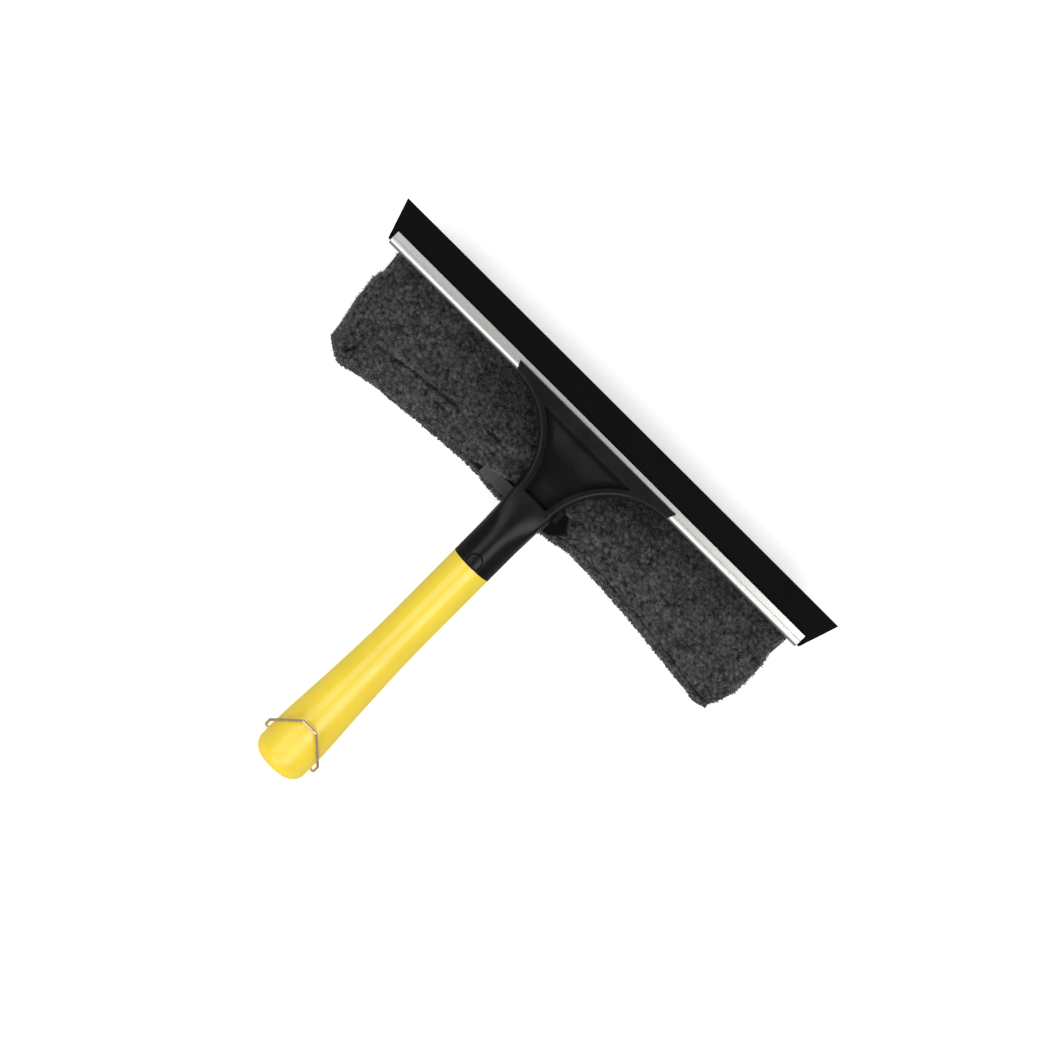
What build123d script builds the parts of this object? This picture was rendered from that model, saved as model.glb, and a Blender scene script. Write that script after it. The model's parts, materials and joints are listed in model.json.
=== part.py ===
from build123d import *

import math
import os

# A two-in-one window tool: a squeegee with a rubber blade on one side and a clip-on
# microfibre scrubber behind it, on a short hollow grip with a wire hanging bail.
#
# The tool lies scrubber down. Its own directions are
#   x  along the blade,
#   w  along the handle, from the joint of grip and head (w = 0) towards the blade,
#   n  out of the squeegee's front face.
# In the model's frame the handle axis rises from the butt to the blade by `tilt`,
# so that the butt and the scrubber both touch the floor at Z = 0.

os.makedirs("parts", exist_ok=True)

# ---------------------------------------------------------------- driving dimensions
tilt = 6.6

blade_length = 304.8  # 12 inch rubber, measured on its working edge
blade_root_length = 291.0
blade_edge_w = 109.0
blade_edge_thick = 1.9
blade_root_thick = 3.4
bead_radius = 2.05
web_thick = 2.4

channel_length = 288.0
channel_half_thick = 3.4
channel_round_w = 89.7  # centre of the rounded bottom of the channel
channel_top_w = 94.0
cavity_radius = 2.35
mouth_width = 3.0

collar_radius = 11.75
collar_bore = 9.7
collar_depth = 24.6
groove_w = 2.6
groove_size = (0.7, 0.6)
neck_start_w = 20.0
neck_end_w = 46.0
neck_half_width = 12.6
neck_half_depth = 10.0
neck_corner = 1.9

bracket_half_width = 55.0
bracket_top_w = 91.5
bracket_half_depth = 5.5
scallop_centre = (53.8, 44.0)
scallop_radius = 41.5
rib_width = 4.7
rib_round = 2.4
web_half_thick = 2.0
recess_low_w = 46.8
recess_high_w = 84.0
slot_gap = 0.1
cut = 20.0  # a cut is made this much longer than what it goes through

screw_x = 38.0
screw_w = 88.6
screw_head_radius = 2.7
screw_shank_radius = 1.4
screw_head_height = 1.5
screw_cross = (3.0, 0.7)

grip_end_w = -145.4
flare_start_w = -45.0
flare_end_w = -128.0
butt_radius = 15.2
butt_corner = 8.0
spigot_radius = 9.6
spigot_length = 24.0
socket_radius = 10.0
socket_depth = 60.0
tube_radius = 7.2

button_half_width = 3.7
button_low_w = 0.9
button_arch_w = 4.2
button_top_radius = 12.4
button_gap = 0.3
button_edge = 0.45
spring_strip = 0.5
spring_width = 5.0
spring_wall_n = -6.1
spring_bend = 2.5
spring_reach_w = (1.5, 19.0)

bail_pivot_w = -133.3
bail_wire_radius = 0.8
bail_hole_radius = 0.88
bail_half_width = 17.1
bail_shoulder = 6.5
bail_reach = 28.0
bail_loop_half_width = 4.5
bail_pin_tip_x = 11.2
bail_bend = 1.5
bail_rest_angle = 46.0  # from the handle axis, towards the front

bar_length = 246.0
bar_low_w = 42.0
bar_high_w = 82.0
bar_front_n = -15.0
bar_back_n = -24.0
bar_corner = 10.0
slot_width = 10.0
slot_length = 22.0
slot_pitch = 26.0
slot_count = 9
stem_low_w = 43.8
stem_high_w = 51.0
stem_half_width = 15.6
stem_front_n = -10.9
stem_middle_w = (stem_low_w + stem_high_w) / 2
arm_gap_half = 13.05
arm_front_n = -6.5

sleeve_front_n = -9.0
sleeve_round = 11.0
neck_room_n = -11.9
neck_room = (40.0, 42.0)
bar_clearance = 0.5
sleeve_low_w = 26.0
sleeve_high_w = 95.0

flap_left_x = -31.0
flap_right_x = 13.0
flap_low_w = 36.8
flap_high_w = 42.8
flap_middle_w = (flap_low_w + flap_high_w) / 2
flap_front_n = -11.7
flap_thick = 1.2
flap_corner = 0.8
patch_length = 12.0
patch_width = 4.6
patch_thick = 0.4
patch_gap = 0.05

# ---------------------------------------------------------------- how the tool lies
sin_tilt = math.sin(math.radians(tilt))
cos_tilt = math.cos(math.radians(tilt))
corner_w = grip_end_w + butt_corner
corner_r = butt_radius - butt_corner

# The butt's rounded corner rests on the floor, and the box of the tool is centred in Y.
rest_z = butt_corner + corner_r * cos_tilt - corner_w * sin_tilt
mouth_w = corner_w - math.sqrt(butt_corner**2 - (socket_radius - corner_r) ** 2)
far_y = blade_edge_w * cos_tilt + blade_edge_thick / 2 * sin_tilt
near_y = mouth_w * cos_tilt - socket_radius * sin_tilt
centre_y = -(far_y + near_y) / 2

origin = (0, centre_y, rest_z)
axis = (0, cos_tilt, sin_tilt)
front = (0, -sin_tilt, cos_tilt)

tool_front = Plane(origin=origin, x_dir=(1, 0, 0), z_dir=front)  # sketches in (x, w)
tool_side = Plane(origin=origin, x_dir=axis, z_dir=(1, 0, 0))  # sketches in (w, n)
tool_end = Plane(origin=origin, x_dir=(-1, 0, 0), z_dir=axis)  # sketches in (-x, n)
handle_axis = Axis(origin, axis)


def floor_n(w):
    """The n of the floor below the point w of the handle axis."""
    return -(rest_z + w * sin_tilt) / cos_tilt


def save(piece, name):
    piece.part.label = name
    export_step(piece.part, f"parts/{name}.step")


# ---------------------------------------------------------------- squeegee head
scallop_x, scallop_w = scallop_centre
waist_x = scallop_x - scallop_radius
shoulder_x = scallop_x - 1.6
shoulder_w = scallop_w + math.sqrt(scallop_radius**2 - (shoulder_x - scallop_x) ** 2)
arc_middle = scallop_radius * math.sqrt(0.5)

# The bracket: two scalloped sides up to a bar that holds the blade channel,
# with a depth that tapers from the neck to the bar.
with BuildPart() as bracket:
    with BuildSketch(tool_front):
        with BuildLine():
            Line((0, scallop_w), (waist_x, scallop_w))
            ThreePointArc(
                (waist_x, scallop_w),
                (scallop_x - arc_middle, scallop_w + arc_middle),
                (shoulder_x, shoulder_w),
            )
            Polyline(
                (shoulder_x, shoulder_w),
                (bracket_half_width, bracket_top_w),
                (0, bracket_top_w),
                (0, scallop_w),
            )
        make_face()
        mirror(about=Plane.YZ)
    extrude(amount=neck_half_depth, both=True)
    with BuildSketch(tool_side):
        with BuildLine():
            Polyline(
                (scallop_w, 0),
                (scallop_w, neck_half_depth),
                (neck_end_w + 2, neck_half_depth - 0.2),
                (recess_high_w - 2, bracket_half_depth),
                (bracket_top_w, bracket_half_depth),
                (bracket_top_w, 0),
                close=True,
            )
        make_face()
        mirror(about=Plane.XZ)
    extrude(amount=2 * bracket_half_width, both=True, mode=Mode.INTERSECT)
    # Round the outer edges of the two scalloped walls.
    rims = bracket.edges().filter_by(GeomType.LINE, reverse=True)
    fillet(rims, rib_round)

with BuildPart() as squeegee_head:
    # Collar over the grip's spigot, then a neck that turns from round to square.
    with BuildSketch(tool_end):
        Circle(collar_radius)
    extrude(amount=neck_start_w)
    with BuildSketch(tool_end.offset(neck_start_w)):
        Circle(collar_radius)
    with BuildSketch(tool_end.offset(neck_end_w)):
        RectangleRounded(2 * neck_half_width, 2 * neck_half_depth, neck_corner)
    loft()

    add(bracket.part)

    # The recess between the ribs, on the front and on the back.
    rib_radius = scallop_radius + rib_width
    for side in (1, -1):
        with BuildSketch(tool_front.offset(side * web_half_thick)):
            with BuildLine():
                low_x = scallop_x - math.sqrt(rib_radius**2 - (recess_low_w - scallop_w) ** 2)
                high_x = scallop_x - math.sqrt(rib_radius**2 - (recess_high_w - scallop_w) ** 2)
                middle_w = (recess_low_w + recess_high_w) / 2
                middle_x = scallop_x - math.sqrt(rib_radius**2 - (middle_w - scallop_w) ** 2)
                Line((0, recess_low_w), (low_x, recess_low_w))
                ThreePointArc((low_x, recess_low_w), (middle_x, middle_w), (high_x, recess_high_w))
                Line((high_x, recess_high_w), (0, recess_high_w))
                Line((0, recess_high_w), (0, recess_low_w))
            make_face()
            mirror(about=Plane.YZ)
        extrude(amount=side * 2 * neck_half_depth, mode=Mode.SUBTRACT)

    # The slot for the channel, open at the top and at both ends.
    with BuildSketch(tool_side):
        slot_half = channel_half_thick + slot_gap
        with Locations((channel_round_w, 0)):
            Circle(slot_half)
            Rectangle(cut, 2 * slot_half, align=(Align.MIN, Align.CENTER))
    extrude(amount=2 * bracket_half_width, both=True, mode=Mode.SUBTRACT)

    # The bore for the spigot, and a shallow groove round the collar's rim.
    with BuildSketch(tool_end):
        Circle(collar_bore)
    extrude(amount=collar_depth, mode=Mode.SUBTRACT)
    with BuildSketch(tool_side):
        with Locations((groove_w, collar_radius)):
            Rectangle(*groove_size)
    revolve(axis=handle_axis, mode=Mode.SUBTRACT)

    # The window for the release button, and holes for the two channel screws.
    with BuildSketch(tool_front):
        with Locations((0, button_arch_w)):
            Circle(button_half_width + button_gap)
            Rectangle(
                2 * (button_half_width + button_gap),
                button_arch_w - button_low_w + button_gap,
                align=(Align.CENTER, Align.MAX),
            )
    extrude(amount=2 * collar_radius, mode=Mode.SUBTRACT)
    with BuildSketch(tool_front):
        with Locations((-screw_x, screw_w), (screw_x, screw_w)):
            Circle(screw_shank_radius + slot_gap)
    extrude(amount=-2 * bracket_half_depth, mode=Mode.SUBTRACT)
save(squeegee_head, "squeegee_head")

# ---------------------------------------------------------------- blade channel
with BuildPart() as blade_channel:
    with BuildSketch(tool_side.offset(-channel_length / 2)):
        with Locations((channel_round_w, 0)):
            Circle(channel_half_thick)
            Rectangle(
                channel_top_w - channel_round_w,
                2 * channel_half_thick,
                align=(Align.MIN, Align.CENTER),
            )
            Circle(cavity_radius, mode=Mode.SUBTRACT)
            Rectangle(cut, mouth_width, align=(Align.MIN, Align.CENTER), mode=Mode.SUBTRACT)
        # A drawn groove on each face parts the flat lip from the rounded bottom.
        for side in (1, -1):
            with Locations((channel_round_w + 0.8, side * channel_half_thick)):
                Circle(0.25, mode=Mode.SUBTRACT)
    extrude(amount=channel_length)
save(blade_channel, "blade_channel")

# ---------------------------------------------------------------- rubber blade
with BuildPart() as rubber_blade:
    lip_w = channel_top_w + 0.3
    with BuildSketch(tool_side):
        with Locations((channel_round_w, 0)):
            Circle(bead_radius)
            Rectangle(
                lip_w - channel_round_w + 0.5,
                web_thick,
                align=(Align.MIN, Align.CENTER),
            )
        with BuildLine():
            Polyline(
                (lip_w, -blade_root_thick / 2),
                (blade_edge_w, -blade_edge_thick / 2),
                (blade_edge_w, blade_edge_thick / 2),
                (lip_w, blade_root_thick / 2),
                close=True,
            )
        make_face()
    extrude(amount=blade_length, both=True)
    # Both ends are cut on a slant, so the working edge is longer than the root.
    with BuildSketch(tool_front):
        with BuildLine():
            Polyline(
                (-blade_root_length / 2, channel_round_w - bead_radius),
                (blade_root_length / 2, channel_round_w - bead_radius),
                (blade_length / 2, blade_edge_w),
                (-blade_length / 2, blade_edge_w),
                close=True,
            )
        make_face()
    extrude(amount=cut, both=True, mode=Mode.INTERSECT)
save(rubber_blade, "rubber_blade")

# ---------------------------------------------------------------- channel screws
# Two cross-head screws through the bracket's back wall press on the channel.
channel_screws = []
for side, name in ((-1, "channel_screw_left"), (1, "channel_screw_right")):
    with BuildPart() as channel_screw:
        with BuildSketch(tool_front.offset(-channel_half_thick)):
            with Locations((side * screw_x, screw_w)):
                Circle(screw_shank_radius)
        extrude(amount=channel_half_thick - bracket_half_depth)
        with BuildSketch(tool_front.offset(-bracket_half_depth)):
            with Locations((side * screw_x, screw_w)):
                Circle(screw_head_radius)
        extrude(amount=-screw_head_height)
        rim = channel_screw.faces().sort_by(Axis(origin, front))[0].edges()
        fillet(rim, 0.8)
        with BuildSketch(tool_front.offset(-bracket_half_depth - screw_head_height / 2)):
            with Locations((side * screw_x, screw_w)):
                Rectangle(*screw_cross)
                Rectangle(*reversed(screw_cross))
        extrude(amount=-2, mode=Mode.SUBTRACT)
    save(channel_screw, name)
    channel_screws.append(channel_screw)

# ---------------------------------------------------------------- grip
with BuildPart() as handle_grip:
    with BuildSketch(tool_side):
        with BuildLine():
            Polyline(
                (grip_end_w, 0),
                (spigot_length, 0),
                (spigot_length, spigot_radius),
                (0, spigot_radius),
                (0, collar_radius),
                (flare_start_w, collar_radius),
            )
            Spline(
                (flare_start_w, collar_radius),
                (-82, 12.8),
                (-103, 13.9),
                (flare_end_w, butt_radius),
                tangents=((-1, 0), (-1, 0.02)),
            )
            Line((flare_end_w, butt_radius), (corner_w, butt_radius))
            CenterArc((corner_w, corner_r), butt_corner, 90, 90)
            Line((grip_end_w, corner_r), (grip_end_w, 0))
        make_face()
    revolve(axis=handle_axis)

    # The pole socket in the butt, and the hollow that runs on through the spigot.
    with BuildSketch(tool_side):
        with BuildLine():
            socket_end = mouth_w + socket_depth
            Polyline(
                (grip_end_w - 1, 0),
                (grip_end_w - 1, socket_radius),
                (socket_end, socket_radius),
                (socket_end + 3, tube_radius),
                (spigot_length + 1, tube_radius),
                (spigot_length + 1, 0),
                close=True,
            )
        make_face()
    revolve(axis=handle_axis, mode=Mode.SUBTRACT)

    # The two holes for the bail's pins, and the button's window in the spigot.
    with BuildSketch(tool_side):
        with Locations((bail_pivot_w, 0)):
            Circle(bail_hole_radius)
    extrude(amount=2 * butt_radius, both=True, mode=Mode.SUBTRACT)
    with BuildSketch(tool_front):
        with Locations((0, button_arch_w)):
            Circle(button_half_width + button_gap)
            Rectangle(
                2 * (button_half_width + button_gap),
                button_arch_w - button_low_w + button_gap,
                align=(Align.CENTER, Align.MAX),
            )
    extrude(amount=2 * spigot_radius, mode=Mode.SUBTRACT)
save(handle_grip, "handle_grip")

# ---------------------------------------------------------------- release button
flange_half_width = 4.6
flange_low_n = 3.7
flange_high_n = 4.8
with BuildPart() as release_button:
    # An arch that stands through both windows, rounded to the collar's curve.
    with BuildSketch(tool_front.offset(flange_low_n)):
        with Locations((0, button_arch_w)):
            Circle(button_half_width)
            Rectangle(
                2 * button_half_width,
                button_arch_w - button_low_w,
                align=(Align.CENTER, Align.MAX),
            )
    extrude(amount=button_top_radius)
    with BuildSketch(tool_end):
        Circle(button_top_radius)
    extrude(amount=collar_depth, both=True, mode=Mode.INTERSECT)
    top_rim = release_button.faces().sort_by(Axis(origin, front))[-1].edges()
    fillet(top_rim, button_edge)
    # A flange inside the tube keeps the button in.
    with BuildSketch(tool_front.offset(flange_low_n)):
        with Locations((0, button_arch_w)):
            RectangleRounded(2 * flange_half_width, 2 * flange_half_width, 2.0)
    extrude(amount=flange_high_n - flange_low_n)
save(release_button, "release_button")

# ---------------------------------------------------------------- button spring
# A steel strip bent into a U inside the tube: one leg under the button, one on the wall.
with BuildPart() as button_spring:
    tip_w, bend_w = spring_reach_w
    leg_n = flange_low_n - slot_gap - spring_strip
    with BuildSketch(tool_side.offset(-spring_width / 2)):
        with BuildLine():
            FilletPolyline(
                (tip_w, leg_n),
                (tip_w + 6.5, leg_n),
                (bend_w, leg_n - 1.5),
                (bend_w, spring_wall_n),
                (tip_w, spring_wall_n),
                radius=spring_bend,
            )
            offset(amount=spring_strip, side=Side.LEFT)
        make_face()
    extrude(amount=spring_width)
save(button_spring, "button_spring")

# ---------------------------------------------------------------- hanging bail
# One wire in a plane through the pivot, its two pins bent inwards into the grip.
lean = math.radians(bail_rest_angle)
bail_origin = tool_front.from_local_coords(Vector(0, bail_pivot_w, 0))
bail_out = tool_front.from_local_coords(
    Vector(0, bail_pivot_w + math.cos(lean), math.sin(lean))
) - bail_origin
bail_plane = Plane(
    origin=bail_origin, x_dir=(1, 0, 0), z_dir=Vector(1, 0, 0).cross(bail_out)
)
with BuildPart() as hanging_bail:
    with BuildLine(bail_plane) as wire_path:
        FilletPolyline(
            (bail_pin_tip_x, 0),
            (bail_half_width, 0),
            (bail_half_width, bail_shoulder),
            (bail_loop_half_width, bail_reach),
            (-bail_loop_half_width, bail_reach),
            (-bail_half_width, bail_shoulder),
            (-bail_half_width, 0),
            (-bail_pin_tip_x, 0),
            radius=bail_bend,
        )
    with BuildSketch(Plane(origin=wire_path.line @ 0, z_dir=wire_path.line % 0)):
        Circle(bail_wire_radius)
    sweep()
save(hanging_bail, "hanging_bail")

# ---------------------------------------------------------------- scrubber bar
# A slotted plastic bar with a stem whose two arms grip the sides of the neck.
with BuildPart() as scrubber_bar:
    bar_middle_w = (bar_low_w + bar_high_w) / 2
    with BuildSketch(tool_front.offset(bar_back_n)):
        with Locations((0, bar_middle_w)):
            RectangleRounded(bar_length, bar_high_w - bar_low_w, bar_corner)
            with GridLocations(slot_pitch, 1, slot_count, 1):
                SlotOverall(slot_length, slot_width, rotation=90, mode=Mode.SUBTRACT)
    extrude(amount=bar_front_n - bar_back_n)
    with BuildSketch(tool_front.offset(bar_front_n)):
        with Locations((0, stem_middle_w)):
            Rectangle(2 * stem_half_width, stem_high_w - stem_low_w)
    extrude(amount=stem_front_n - bar_front_n)
    with BuildSketch(tool_front.offset(stem_front_n)):
        for side in (1, -1):
            with Locations((side * (arm_gap_half + stem_half_width) / 2, stem_middle_w)):
                Rectangle(stem_half_width - arm_gap_half, stem_high_w - stem_low_w)
    extrude(amount=arm_front_n - stem_front_n)
save(scrubber_bar, "scrubber_bar")

# ---------------------------------------------------------------- scrubber sleeve
# A padded sleeve round the bar. It lies flat on the floor and leans with the tool above.
with BuildPart() as scrubber_sleeve:
    with BuildSketch(tool_side.offset(-140)):
        with BuildLine():
            Polyline(
                (sleeve_low_w, floor_n(sleeve_low_w)),
                (sleeve_high_w, floor_n(sleeve_high_w)),
                (sleeve_high_w, sleeve_front_n),
                (sleeve_low_w, sleeve_front_n),
                close=True,
            )
        make_face()
        fillet(vertices(), sleeve_round)
    extrude(amount=280)
    with BuildSketch(tool_front):
        with BuildLine():
            Polyline(
                (-131, 27),
                (-118, 26.5),
                (-60, 32),
                (-14, 33),
                (14, 34),
                (60, 36),
                (134, 31),
                (139, 50),
                (138, sleeve_high_w),
                (-136, sleeve_high_w),
                (-137, 60),
                close=True,
            )
        make_face()
    extrude(amount=2 * rest_z, both=True, mode=Mode.INTERSECT)

    # Room for the neck, and for the bracket above it.
    with BuildSketch(tool_front.offset(neck_room_n)):
        with Locations((0, neck_start_w)):
            Rectangle(*neck_room, align=(Align.CENTER, Align.MIN))
    extrude(amount=cut, mode=Mode.SUBTRACT)
    # The mouth that the stem comes out of, wider to the right of the neck.
    with BuildSketch(tool_front.offset(bar_front_n)):
        with BuildLine():
            Polyline(
                (-16.5, 52),
                (20, 52),
                (24.5, 44),
                (15, 35.5),
                (-16.5, 43.4),
                close=True,
            )
        make_face()
    extrude(amount=cut, mode=Mode.SUBTRACT)
    # The shallow seat of the closure flap and the cavity of the bar.
    seat_left_x = flap_left_x - 1.0
    seat_right_x = flap_right_x + 2.0
    with BuildSketch(tool_front.offset(flap_front_n - flap_thick - bar_clearance)):
        with Locations(((seat_left_x + seat_right_x) / 2, flap_middle_w)):
            Rectangle(seat_right_x - seat_left_x, flap_high_w - flap_low_w + 2 * bar_clearance)
    extrude(amount=cut, mode=Mode.SUBTRACT)
    with BuildSketch(tool_front.offset(bar_back_n - bar_clearance)):
        with Locations((0, bar_middle_w)):
            RectangleRounded(
                bar_length + 2 * bar_clearance, bar_high_w - bar_low_w + 2 * bar_clearance, bar_corner
            )
    extrude(amount=bar_front_n - bar_back_n + 2 * bar_clearance, mode=Mode.SUBTRACT)
save(scrubber_sleeve, "scrubber_sleeve")

# ---------------------------------------------------------------- closure flap and patch
with BuildPart() as closure_flap:
    with BuildSketch(tool_front.offset(flap_front_n - flap_thick)):
        with Locations(((flap_left_x + flap_right_x) / 2, flap_middle_w)):
            RectangleRounded(flap_right_x - flap_left_x, flap_high_w - flap_low_w, flap_corner)
    extrude(amount=flap_thick)
save(closure_flap, "closure_flap")

with BuildPart() as hook_patch:
    with BuildSketch(tool_front.offset(flap_front_n - flap_thick - patch_gap - patch_thick)):
        with Locations((flap_left_x + 1 + patch_length / 2, flap_middle_w)):
            RectangleRounded(patch_length, patch_width, flap_corner)
    extrude(amount=patch_thick)
save(hook_patch, "hook_patch")

pieces = (
    squeegee_head,
    blade_channel,
    rubber_blade,
    *channel_screws,
    handle_grip,
    release_button,
    button_spring,
    hanging_bail,
    scrubber_bar,
    scrubber_sleeve,
    closure_flap,
    hook_patch,
)
box = Compound(children=[piece.part for piece in pieces]).bounding_box()
print("lowest corner", [round(v, 2) for v in box.min])
print("highest corner", [round(v, 2) for v in box.max])
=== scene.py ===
import itertools
import json
import math

import bpy
import numpy as np
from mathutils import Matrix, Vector


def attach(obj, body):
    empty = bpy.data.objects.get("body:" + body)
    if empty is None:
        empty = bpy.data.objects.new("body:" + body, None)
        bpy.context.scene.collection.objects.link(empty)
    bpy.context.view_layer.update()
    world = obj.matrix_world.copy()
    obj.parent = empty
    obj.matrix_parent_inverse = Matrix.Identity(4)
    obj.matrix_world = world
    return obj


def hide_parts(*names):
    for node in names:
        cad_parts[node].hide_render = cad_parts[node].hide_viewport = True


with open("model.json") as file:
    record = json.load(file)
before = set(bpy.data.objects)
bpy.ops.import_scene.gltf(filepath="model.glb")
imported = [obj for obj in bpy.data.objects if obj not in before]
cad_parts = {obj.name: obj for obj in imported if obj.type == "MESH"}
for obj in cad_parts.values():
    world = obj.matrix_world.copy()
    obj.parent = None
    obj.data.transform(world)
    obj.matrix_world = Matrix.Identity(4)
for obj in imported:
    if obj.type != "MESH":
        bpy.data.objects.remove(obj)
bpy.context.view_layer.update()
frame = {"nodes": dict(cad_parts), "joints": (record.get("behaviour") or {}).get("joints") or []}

# %% [markdown]
# # A window squeegee with a clip-on scrubber
# The imported model is the fixed frame: every hard part of the tool is already there, at its real place
# and size. This lesson adds what makes it look like the real tool: a surface for each plastic, metal
# and rubber part, and a plush microfibre sleeve in place of the plain block that stands for it.

# %% [markdown]
# ## The tool's own directions
# The tool lies on its scrubber, so its handle rises a little towards the blade. It is easier
# to think along the tool: x runs along the blade, w along the handle, n out of the front
# face. The joints already know these directions: the button moves straight into the front
# face, and the bail turns about a pivot near the butt.

# %% Directions from the joints
MM = 0.001
BAIL_PIVOT_W = -133.3  # the pivot's place on the handle, from the joint of grip and head

joints = {joint["name"]: joint for joint in frame["joints"]}
front = -np.array(joints["button_press"]["axis"], dtype=float)
across = np.array([1.0, 0.0, 0.0])
along = np.cross(front, across)
tilt = math.atan2(along[2], along[1])
grip_joint = np.array(joints["bail_swing"]["pos_m"]) - BAIL_PIVOT_W * MM * along
print("the handle rises by", round(math.degrees(tilt), 2), "degrees")


def place(x, w, n):
    """Points x, w and n millimetres along the tool's directions from the grip's joint, in metres."""
    x, w, n = np.broadcast_arrays(*(np.asarray(value, dtype=float) for value in (x, w, n)))
    return grip_joint + MM * (x[..., None] * across + w[..., None] * along + n[..., None] * front)


def height_to_n(w, height):
    """The n of a point above the floor: its height in mm, less the axis's own rise at w."""
    axis_height = grip_joint[2] / MM + np.asarray(w) * along[2]
    return (height - axis_height) / front[2]


# %% [markdown]
# ## Camera
# The camera looks straight down through a long lens, so that lines stay parallel, and it is
# rolled so that the handle points from the lower left to the upper right.

# %% Camera
VIEW_WIDTH = 0.5252
LENS_MM = 110.0
SENSOR_MM = 36.0
ROLL = math.radians(44.88)
AIM = (1.4, 33.6, 0.0)  # (x, w, n) in mm of the point in the middle of the view

camera_data = bpy.data.cameras.new("camera")
camera_data.lens = LENS_MM
camera_data.sensor_width = SENSOR_MM
camera = bpy.data.objects.new("camera", camera_data)
bpy.context.collection.objects.link(camera)
aim = place(*AIM)
distance = VIEW_WIDTH * LENS_MM / SENSOR_MM
camera.location = (aim[0], aim[1], aim[2] + distance)
camera.rotation_euler = (0.0, 0.0, ROLL)
bpy.context.scene.camera = camera
print("camera is", round(distance, 2), "m above the tool")

# %% [markdown]
# ## Studio
# A pale floor, a dim white surround and three large soft lamps. None hangs straight above the
# tool: flat black plastic mirrors that direction and would turn grey. The two on the sides
# together draw the broad pale band along the round grip, and the third, beyond the butt,
# lights the rounded bottom of the channel. The floor glows a little, as a light table does,
# so that the shadows on it stay faint. Colours are shown as they are, with the Standard
# view, because a film-like one pales a strong yellow.

# %% Floor and lamps
STUDIO_TARGET = place(0.0, 10.0, 0.0)  # a point on the collar, which the lamps face
WORLD_LIGHT = 0.35  # dim, because flat black parts mirror what is straight above them
FLOOR_REACH = 3.0  # metres from the middle to each side
PAPER_WHITE = 0.93
PAPER_MIRRORED = 0.22
PAPER_GLOW = 0.58


def add_floor():
    """A flat square far larger than the view, at the height the tool stands on."""
    mesh = bpy.data.meshes.new("floor")
    corners = [(x * FLOOR_REACH, y * FLOOR_REACH, 0) for x, y in ((-1, -1), (1, -1), (1, 1), (-1, 1))]
    mesh.from_pydata(corners, [], [(0, 1, 2, 3)])
    floor = bpy.data.objects.new("floor", mesh)
    bpy.context.collection.objects.link(floor)
    material = bpy.data.materials.new("floor_paper")
    material.use_nodes = True
    tree = material.node_tree
    shader = tree.nodes["Principled BSDF"]
    # Seen in a reflection the paper is a mid grey, as if dark cards stood round the tool, so
    # the sides of the black parts stay black.
    ray = tree.nodes.new("ShaderNodeLightPath")
    paper = tree.nodes.new("ShaderNodeMix")
    paper.data_type = "RGBA"
    paper.inputs[6].default_value = (PAPER_WHITE, PAPER_WHITE, PAPER_WHITE, 1)
    paper.inputs[7].default_value = (PAPER_MIRRORED, PAPER_MIRRORED, PAPER_MIRRORED, 1)
    tree.links.new(ray.outputs["Is Glossy Ray"], paper.inputs["Factor"])
    tree.links.new(paper.outputs[2], shader.inputs["Base Color"])
    tree.links.new(paper.outputs[2], shader.inputs["Emission Color"])
    shader.inputs["Roughness"].default_value = 0.9
    shader.inputs["Specular IOR Level"].default_value = 0.1
    shader.inputs["Emission Strength"].default_value = PAPER_GLOW
    mesh.materials.append(material)


def add_lamp(name, offset, size, power):
    """A square area lamp at an offset from the studio's target, turned to face it."""
    data = bpy.data.lights.new(name, "AREA")
    data.shape = "SQUARE"
    data.size = size
    data.energy = power
    lamp = bpy.data.objects.new(name, data)
    lamp.location = STUDIO_TARGET + np.array(offset)
    lamp.rotation_euler = Vector([-value for value in offset]).to_track_quat("-Z", "Y").to_euler()
    bpy.context.collection.objects.link(lamp)


add_floor()
add_lamp("right_softbox", offset=(0.66, -0.3, 1.3), size=0.75, power=8.6)
add_lamp("left_softbox", offset=(-0.76, -0.3, 1.3), size=0.75, power=5.2)
add_lamp("butt_side_softbox", offset=(0.0, -1.25, 1.0), size=1.15, power=8.4)
world = bpy.data.worlds.new("studio_world")
world.use_nodes = True
world.node_tree.nodes["Background"].inputs["Color"].default_value = (1, 1, 1, 1)
world.node_tree.nodes["Background"].inputs["Strength"].default_value = WORLD_LIGHT
bpy.context.scene.world = world
bpy.context.scene.view_settings.view_transform = "Standard"

# %% [markdown]
# ## Building shaders from small steps
# A shader is a graph of nodes. Two helpers keep the graphs short: one adds a node and sets
# or links its inputs, the other starts a node group with named inputs and outputs.

# %% Node helpers


def add_node(tree, kind, settings=None, **inputs):
    """One node of a tree. Settings are its properties; inputs are values, or sockets to link.
    An input is called by its label, or by i and its number where labels repeat."""
    node = tree.nodes.new(kind)
    for key, value in (settings or {}).items():
        setattr(node, key, value)
    for key, value in inputs.items():
        by_number = key[0] == "i" and key[1:].isdigit()
        socket = node.inputs[int(key[1:]) if by_number else key.replace("_", " ")]
        if isinstance(value, bpy.types.NodeSocket):
            tree.links.new(value, socket)
        else:
            socket.default_value = value
    return node


def start_group(name, inputs, outputs):
    """A node group with (name, kind, default) inputs and (name, kind) outputs: its tree and ends."""
    tree = bpy.data.node_groups.new(name, "ShaderNodeTree")
    for label, kind, default in inputs:
        socket = tree.interface.new_socket(label, in_out="INPUT", socket_type=kind)
        if default is not None:
            socket.default_value = default
    for label, kind in outputs:
        tree.interface.new_socket(label, in_out="OUTPUT", socket_type=kind)
    return tree, tree.nodes.new("NodeGroupInput").outputs, tree.nodes.new("NodeGroupOutput").inputs


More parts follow.
